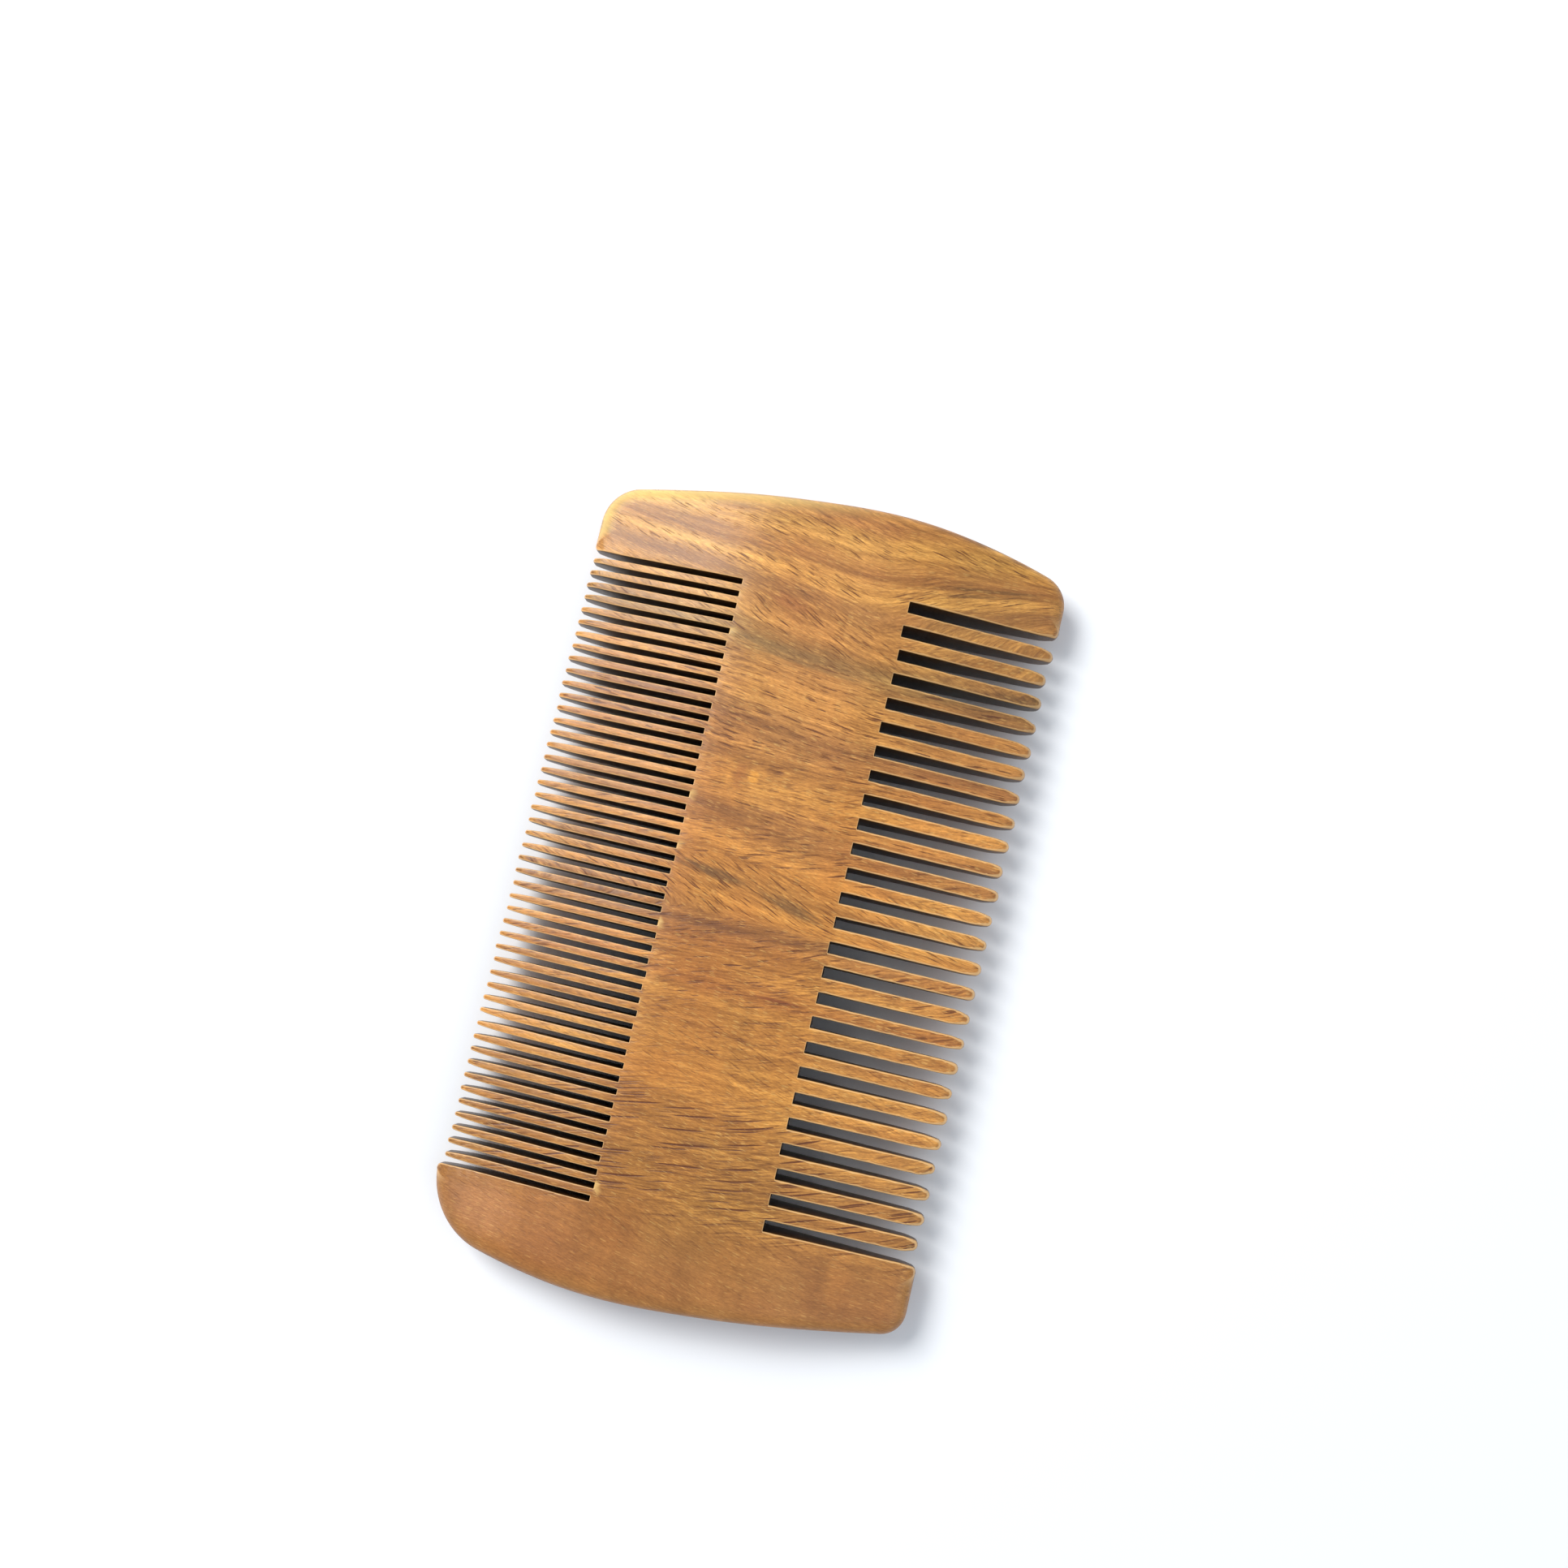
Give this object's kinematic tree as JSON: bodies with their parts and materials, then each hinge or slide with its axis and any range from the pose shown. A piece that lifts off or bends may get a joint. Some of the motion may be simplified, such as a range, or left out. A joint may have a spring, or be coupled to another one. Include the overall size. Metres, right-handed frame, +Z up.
{
  "type": "beard comb",
  "caption": "Pocket-size two-sided wooden beard comb: a flat spine with fine teeth along one side, coarse teeth along the other and rounded guards at both ends.",
  "frame": {"origin": "middle of the lower face, where the comb lies flat", "axes": "+X points to the coarse teeth and -X to the fine teeth, +Y runs along the comb, +Z is up through its thickness"},
  "size_m": [0.0628, 0.107, 0.009],
  "materials": {
    "wood": "satin, hand-sanded and oiled"
  },
  "bodies": {
    "root": {"comb_body": "wood"}
  },
  "joints": []
}
